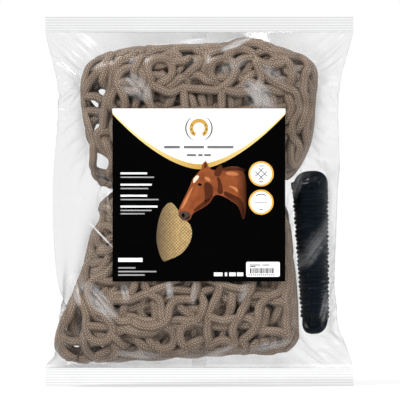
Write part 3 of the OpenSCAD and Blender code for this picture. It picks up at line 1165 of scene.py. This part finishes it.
def card_field():
    """How far forward the card lies, on a grid: a stiff sheet resting on the front film."""
    xs, zs = (np.arange(LABEL_LOW[axis] - CARD_MARGIN, LABEL_HIGH[axis] + CARD_MARGIN + 0.1,
                        CARD_CELL) for axis in (0, 2))
    field = reach_grid(finer(film[0]).reshape(-1, 3), -1, xs, zs, CARD_CELL)
    for gather in (np.max, np.mean):
        for _ in range(CARD_SPREAD):
            field = neighbours(field, gather)
    return xs, zs, field + FILM_T + CARD_GAP


CARD_X, CARD_Z, CARD = card_field()


def card_depth(x, z):
    """Depth of the card's back at points of the label."""
    return bilinear(CARD, (x - CARD_X[0]) / CARD_CELL, (z - CARD_Z[0]) / CARD_CELL)


# The artwork is drawn on a square 150 wide and scaled to the label.
ART = LABEL_SIDE / 150


def inlay(name, outlines, lift, thickness, material):
    """Flat shapes laid on the card: outlines from the label's middle, as (x, z) in artwork units."""
    shapes = bmesh.new()
    for outline in outlines:
        corners = [shapes.verts.new((x * ART, 0, z * ART)) for x, z in outline]
        shapes.faces.new(corners)
    shapes.normal_update()
    bmesh.ops.triangulate(shapes, faces=shapes.faces[:])
    for way, lines in (((1, 0, 0), CARD_X - LABEL_MID[0]), ((0, 0, 1), CARD_Z - LABEL_MID[2])):
        places = [vertex.co.dot(way) for vertex in shapes.verts]
        for cut in lines[(lines > min(places)) & (lines < max(places))]:
            everything = shapes.verts[:] + shapes.edges[:] + shapes.faces[:]
            bmesh.ops.bisect_plane(shapes, geom=everything, plane_co=np.array(way) * cut,
                                   plane_no=way, dist=1e-4)
    bmesh.ops.recalc_face_normals(shapes, faces=shapes.faces[:])
    for face in shapes.faces:
        if face.normal.y > 0:
            face.normal_flip()
    front = shapes.verts[:]
    rim = [edge for edge in shapes.edges if edge.is_boundary]
    back = bmesh.ops.duplicate(shapes, geom=shapes.faces[:])
    twin = back["vert_map"]
    for face in [f for f in back["geom"] if isinstance(f, bmesh.types.BMFace)]:
        face.normal_flip()
    for edge in rim:
        a, b = edge.verts
        wall = shapes.faces.new((a, b, twin[b], twin[a]))
        wall.smooth = False
    in_front = set(front)
    for vertex in shapes.verts:
        x = vertex.co.x + LABEL_MID[0]
        z = vertex.co.z + LABEL_MID[2]
        depth = float(card_depth(np.array([x]), np.array([z]))[0]) + lift
        depth += thickness if vertex in in_front else 0
        vertex.co = (x * MM, -depth * MM, z * MM)
    bmesh.ops.recalc_face_normals(shapes, faces=shapes.faces[:])
    mesh = bpy.data.meshes.new(name)
    shapes.to_mesh(mesh)
    shapes.free()
    mesh.materials.append(material)
    return add_object(name, mesh)


def bar(left, low, width, height):
    return [(left, low), (left + width, low), (left + width, low + height), (left, low + height)]


def disc(x, z, radius, count=40):
    turn = 2 * np.pi * np.arange(count) / count
    return [(x + radius * np.cos(a), z + radius * np.sin(a)) for a in turn]


def arc(x, z, radius, width, start, end, count=24, slim=False):
    """A band along a circle, from start to end degrees; slim tapers it to points."""
    turn = np.radians(np.linspace(start, end, count))
    half = np.full(count, width / 2)
    if slim:
        half = width / 2 * np.sin(np.pi * np.linspace(0.03, 0.97, count)) ** 0.6
    way = np.stack([np.cos(turn), np.sin(turn)], 1)
    outer = (x, z) + way * (radius + half)[:, None]
    inner = (x, z) + way * (radius - half)[:, None]
    return [*outer, *inner[::-1]]


def rounded(points):
    """A closed outline with its corners cut, twice over."""
    for _ in range(2):
        ends = points[1:] + points[:1]
        points = [corner for a, b in zip(points, ends) for corner in (
            (0.75 * a[0] + 0.25 * b[0], 0.75 * a[1] + 0.25 * b[1]),
            (0.25 * a[0] + 0.75 * b[0], 0.25 * a[1] + 0.75 * b[1]))]
    return points


HALF = 75.0
SAG_POWER = 1.65


def sag(x, edge, bottom):
    """Height of the sagging line between the white field and the black one."""
    return bottom + (edge - bottom) * (abs(x) / HALF) ** SAG_POWER


# The horse's neck fades into the black between these two places in x, in mm.
FADE = (31, 40)
black_ink = print_paint("black_ink", rgb(1, 1, 1), rgb(4, 4, 5), roughness=0.6, shine=0.01)
white_ink = print_paint("white_ink", rgb(246, 246, 246), rgb(254, 254, 254), roughness=0.5)
grey_ink = print_paint("grey_ink", rgb(96, 96, 98), rgb(128, 128, 130))
pale_ink = print_paint("pale_ink", rgb(140, 140, 140), rgb(172, 172, 172))
gold_ink = gold_paint()
ring_ink = print_paint("ring_ink", rgb(214, 150, 58), rgb(240, 190, 96), 90.0)
coat_ink = print_paint("coat_ink", rgb(96, 46, 24), rgb(160, 88, 50), 130.0, fade=FADE)
shadow_ink = print_paint("shadow_ink", rgb(54, 26, 15), rgb(92, 46, 26), 110.0, fade=FADE)
light_ink = print_paint("light_ink", rgb(166, 94, 54), rgb(200, 132, 88), 110.0, fade=FADE)
muzzle_ink = print_paint("muzzle_ink", rgb(52, 40, 36), rgb(92, 74, 66), 160.0)
blaze_ink = print_paint("blaze_ink", rgb(226, 196, 172), rgb(244, 226, 210))


def hay_paint():
    """Golden hay behind a fine dark net, in shadow at its left."""
    paint = Paint("hay_ink", 0.6)
    place_x, place_z = paint.coordinate("X"), paint.coordinate("Z")
    waves = []
    for sign in (1, -1):
        slope = paint.plus(place_x, paint.times(place_z, sign))
        waves.append(paint.math("ABSOLUTE", paint.math("SINE", paint.times(slope, 1150.0))))
    seen = paint.remap(paint.math("MINIMUM", *waves), 0.15, 0.4)
    hay = paint.mix(paint.noise(420.0, 4.0), rgb(104, 80, 46), rgb(232, 196, 128))
    netted = paint.mix(seen, rgb(82, 66, 42), hay)
    lit = paint.remap(place_x, -0.037, -0.018)
    paint.colour(paint.mix(lit, rgb(70, 54, 34), netted))
    return paint.material


hay_ink = hay_paint()

card = inlay("label_card", [bar(-HALF, -HALF, 2 * HALF, 2 * HALF)], 0.0, CARD_T, black_ink)
attach(card, "label_paper", "label_upper", "label_lower")

line_x = np.linspace(-HALF, HALF, 61)
white_line = [(x, sag(x, HALF - 3.6, 26.8)) for x in line_x]
gold_line = [(x, sag(x, HALF - 5.0, 22.4)) for x in line_x]
white_field = [(HALF, HALF), (-HALF, HALF)] + white_line
gold_band = white_line[::-1] + gold_line

EMBLEM_X, EMBLEM_Z = 0.0, 58.0
SHOE_R = 6.6
BRACKET_R = 11.4
title = [bar(x, 40.4, width, 2.4) for x, width in ((-30.3, 13.8), (-13.2, 17.7), (7.3, 22.7))]
subtitle = [bar(x, 33.6, width, 2.0) for x, width in ((-10.5, 8.1), (-0.6, 3.8), (4.5, 5.8))]
shoe = arc(EMBLEM_X, EMBLEM_Z, SHOE_R, 3.4, -62, 242, 30)
nails = [disc(EMBLEM_X + SHOE_R * np.cos(a), EMBLEM_Z + SHOE_R * np.sin(a), 0.6, 10)
         for a in np.radians([-40, -8, 24, 156, 188, 220])]
brackets = [arc(EMBLEM_X, EMBLEM_Z, BRACKET_R, 1.0, start, start + 124, 24, True)
            for start in (122, -66)]

BLOCK_TOPS = (19.6, 9.8, 0.2, -9.2)
bold_lines = [bar(-68, top - 1.6, width, 1.6) for top, width in zip(BLOCK_TOPS, (23, 27, 23, 32))]
thin_lines = [bar(-68, top - 4.7, width, 1.1) for top, width in zip(BLOCK_TOPS, (29, 24, 33, 27))]
thin_lines += [bar(-68, BLOCK_TOPS[-1] - 7.6, 21, 1.1)]
maker_lines = [bar(-70, low, width, height)
               for low, width, height in ((-58.0, 21, 3.4), (-63.8, 15, 1.2), (-67.0, 33, 1.2),
                                          (-70.0, 23, 1.2))]
size_words = [bar(x, -70.4, width, 3.2)
              for x, width in ((13.0, 7.5), (22.5, 2.0), (26.3, 5.5), (33.0, 5.5))]

# The picture: a plain bay horse's head and neck, and a net full of hay.
horse = rounded([
    (41, 23), (27, 25.5), (16, 21), (9, 22.5), (6.4, 30.5), (3.2, 27.5), (1.6, 21.5), (-5.5, 14.5),
    (-8, 7), (-13.5, -4), (-18, -13.5), (-17.5, -19.5), (-12.5, -22.8), (-7.4, -21.4),
    (-5.4, -15.6), (3, -11.4), (9.5, -7), (13.5, 0.6), (20, -0.4), (29, -5.4), (35, -10),
    (38.5, -24), (41.5, -12)])
far_ear = rounded([(13, 17), (13.6, 21.5), (19.5, 27.5), (21, 22), (17.6, 15.4)])
mane = rounded([(20.5, 24), (32, 24.6), (41, 22.4), (41, 20.4), (30, 21.6), (20, 20.6)])
cheek = rounded([(5, 12), (11.5, 9.5), (13, 1.8), (9, -5.6), (3, -9), (5.5, -2), (4.5, 5)])
throat = rounded([(15, 16), (17, 9), (15.5, 1.5), (21, 0), (20.5, 8), (18, 15)])
muzzle = rounded([(-17.4, -15), (-13, -13.4), (-7.2, -15.6), (-7.8, -21), (-12.5, -22.4), (-17, -19.4)])
near_ear = rounded([(4.4, 22.6), (4.6, 26), (6.1, 29), (7, 24.6)])
jaw = rounded([(-5.4, -15.2), (3, -11), (9.3, -6.6), (13, 0.6), (8.5, -1.5), (2, -7), (-4, -12)])
chest = rounded([(21, 0), (29, -5), (35, -9.6), (38.5, -23), (40, -13), (37, -3), (29, 0.5), (22, 4)])
nose_light = rounded([(-4.4, 8), (-7.2, 5.6), (-13.4, -6), (-16, -12.4), (-13.6, -11.6), (-9, -3)])
cheek_light = rounded([(4, 16), (9.4, 15.4), (10.6, 11), (6, 12.6)])
neck_light = rounded([(23, 20.2), (31, 20.4), (36, 17.4), (30, 16.6), (24, 17.4)])
chest_light = rounded([(24, 8.4), (30, 5.4), (34.4, 1.2), (33, 7)])
nostril = rounded([(-15.2, -16), (-12.6, -15.6), (-12, -19), (-14.4, -19.6)])
mouth = rounded([(-13, -21), (-8.4, -19), (-6.2, -16.4), (-8.8, -20.6)])
eye = rounded([(-1.6, 9.5), (0.8, 10.6), (3, 8.8), (0.6, 7.8)])
star = rounded([(-5.2, 14), (-1.6, 17.6), (0.8, 16), (-2.4, 12), (-4.8, 9.6)])
hay_net_shape = rounded([
    (-24, -5), (-31, -10.5), (-35.4, -22), (-37.4, -38), (-34.8, -50), (-31, -58.5), (-26, -56),
    (-17, -52.6), (-9.5, -45), (-5.2, -34), (-7.8, -24.5), (-14, -21), (-18, -13)])

# Two round icons: a scrap of mesh and a length of rope.
ICONS = ((54.0, 18.4), (54.0, -6.2))
ICON_R = 10.8
icon_discs = [disc(x, z, ICON_R - 0.9) for x, z in ICONS]
icon_rings = [arc(x, z, ICON_R - 0.7, 1.6, 0, 359.5, 48) for x, z in ICONS]


def crossing(x, z, reach, gap, width):
    """Two pairs of slanted strokes that cross: a scrap of square mesh."""
    strokes = []
    for slant in (1, -1):
        for shift in (-gap / 2, gap / 2):
            way = np.array([1, slant]) / np.sqrt(2)
            side = np.array([-slant, 1]) / np.sqrt(2)
            middle = np.array([x, z]) + side * shift
            strokes.append([middle + way * reach * a + side * width / 2 * b
                            for a, b in ((-1, -1), (1, -1), (1, 1), (-1, 1))])
    return strokes


mesh_icon = crossing(*ICONS[0], 5.0, 4.2, 0.8)
rope_icon = [bar(ICONS[1][0] - 6 + 1.3 * k, ICONS[1][1] - 0.5, 1.0, 0.9) for k in range(9)]
icon_words = [bar(ICONS[icon][0] - width / 2, ICONS[icon][1] + up, width, height)
              for icon, up, width, height in ((0, -7.3, 3.2, 0.9), (1, -6.9, 3.2, 0.9),
                                              (0, 6.4, 5.2, 0.8))]
icon_arch = [arc(*ICONS[1], 7.0, 1.0, 52, 128, 12)]

# Every print is a thin inlay, stacked in levels: (name, outlines, level, ink).
INK = 0.06
PRINTS = (
    ("label_white_field", [white_field], 0, white_ink),
    ("label_gold_band", [gold_band], 1, gold_ink),
    ("label_title_bars", title + subtitle, 2, grey_ink),
    ("label_emblem", [shoe], 2, gold_ink),
    ("label_emblem_marks", nails + brackets, 3, black_ink),
    ("label_bold_bars", bold_lines + maker_lines[:1] + size_words, 1, white_ink),
    ("label_thin_bars", thin_lines + maker_lines[1:], 1, pale_ink),
    ("label_hay", [hay_net_shape], 1, hay_ink),
    ("label_horse", [horse], 2, coat_ink),
    ("label_horse_shade", [far_ear, near_ear, cheek, throat, mane, jaw, chest], 3, shadow_ink),
    ("label_horse_light", [nose_light, cheek_light, neck_light, chest_light], 3, light_ink),
    ("label_horse_muzzle", [muzzle], 3, muzzle_ink),
    ("label_horse_star", [star], 4, blaze_ink),
    ("label_horse_marks", [eye, nostril, mouth], 5, black_ink),
    ("label_icon_discs", icon_discs, 1, white_ink),
    ("label_icon_rings", icon_rings, 2, ring_ink),
    ("label_icon_marks", mesh_icon + rope_icon + icon_words + icon_arch, 2, grey_ink),
)
for name, outlines, level, ink in PRINTS:
    attach(inlay(name, outlines, CARD_T + level * INK, INK, ink), "label_paper")

STICKER_MID = ((STICKER[0] + STICKER[1]) / 2 - LABEL_MID) / ART
STICKER_SIZE = (STICKER[1] - STICKER[0]) / ART
wide, tall = STICKER_SIZE[0], STICKER_SIZE[2]
left, low = STICKER_MID[0] - wide / 2, STICKER_MID[2] - tall / 2
CORNER = 1.2
sticker_shape = [(left + dx + CORNER * np.cos(a), low + dz + CORNER * np.sin(a))
                 for dx, dz, start in ((wide - CORNER, tall - CORNER, 0), (CORNER, tall - CORNER, 90),
                                       (CORNER, CORNER, 180), (wide - CORNER, CORNER, 270))
                 for a in np.radians(np.linspace(start, start + 90, 6))]
STRIPES = 22
STRIPE_GAP = 0.42
stripes = []
place = left + 3.2
for k in range(STRIPES):
    stripe_w = 0.35 + 0.5 * ((k * 7) % 5 == 0) + 0.25 * (k % 3 == 0)
    stripes.append(bar(place, low + 2.9, stripe_w, 4.6))
    place += stripe_w + STRIPE_GAP
small_print = [bar(left + 3.2, low + 9.8, 9, 0.8), bar(left + 14, low + 9.8, 6, 0.8),
               bar(left + 3.2, low + 8.4, 5, 0.8)]
small_print += [bar(left + 2.4 + 1.75 * k, low + 1.2, 1.1, 0.9) for k in range(13)]
STICKER_T = 0.1
sticker_lift = CARD_T + INK
sticker = inlay("barcode_sticker_paper", [sticker_shape], sticker_lift, STICKER_T, white_ink)
attach(sticker, "sticker_paper", "barcode_sticker", body="lower_pack")
stripe_piece = inlay("barcode_sticker_bars", stripes + small_print, sticker_lift + STICKER_T, INK,
                     black_ink)
attach(stripe_piece, "sticker_paper", body="lower_pack")


# ---------------------------------------------------------------- light, floor and camera

def area_light(name, place, aim, size, watts):
    data = bpy.data.lights.new(name, "AREA")
    data.shape = "DISK"
    data.size = size
    data.energy = watts
    lamp = add_object(name, data)
    lamp.location = place
    lamp.rotation_mode = "QUATERNION"
    lamp.rotation_quaternion = (Vector(aim) - Vector(place)).to_track_quat("-Z", "Y")


MIDDLE = (0, 0, 0.156)
area_light("key_light", (-0.9, -1.2, 1.7), MIDDLE, 0.8, 50)
area_light("fill_light", (1.4, -1.1, 0.9), MIDDLE, 0.9, 16)
area_light("back_light", (0.5, 1.3, 1.1), MIDDLE, 0.9, 20)


def studio_world():
    """White to the camera; to everything else soft light, dimmest from the camera's side."""
    world = bpy.data.worlds.new("studio")
    world.use_nodes = True
    bpy.context.scene.world = world
    sky = Nodes(world.node_tree)
    sky.tree.nodes.clear()
    way = sky.node("TexCoord").outputs["Generated"]
    back = sky.node("SeparateXYZ", {0: way}).outputs["Y"]
    soft = sky.node("Background", {"Strength": sky.remap(back, -1.0, 0.4, 0.32, 0.9)}).outputs[0]
    white = sky.node("Background", {"Color": WHITE}).outputs[0]
    seen = sky.node("LightPath").outputs["Is Camera Ray"]
    sky.node("OutputWorld", {"Surface": sky.mix_shaders(seen, soft, white)})


studio_world()

floor_paint = Paint("pale_floor", 0.9, 0.0)
floor_paint.colour(rgb(150, 150, 150))
for socket, value in (("Emission Color", WHITE), ("Emission Strength", 0.6)):
    floor_paint.feed(floor_paint.shader.inputs[socket], value)
FLOOR_RADIUS = 700.0
FLOOR_SIDES = 96
FLOOR_Z = -0.5
floor_turn = 2 * np.pi * np.arange(FLOOR_SIDES) / FLOOR_SIDES
floor_points = np.stack([FLOOR_RADIUS * np.cos(floor_turn), FLOOR_RADIUS * np.sin(floor_turn),
                         np.full(FLOOR_SIDES, FLOOR_Z)], 1)
floor = make_mesh("floor", floor_points, [np.arange(FLOOR_SIDES)[None]], floor_paint.material,
                  smooth=False)

bpy.context.scene.view_settings.view_transform = "Standard"

CAMERA_AWAY = 5000.0
CAMERA_X, CAMERA_Z = 0.5, 156.25
PICTURE_MM = 333.3
SENSOR = 36
camera_data = bpy.data.cameras.new("camera")
camera_data.sensor_width = SENSOR
camera_data.lens = SENSOR * (CAMERA_AWAY - CROWN) / PICTURE_MM
camera_data.clip_end = 50
camera = add_object("camera", camera_data)
camera.location = (CAMERA_X * MM, -CAMERA_AWAY * MM, CAMERA_Z * MM)
camera.rotation_euler = (np.pi / 2, 0, 0)
bpy.context.scene.camera = camera
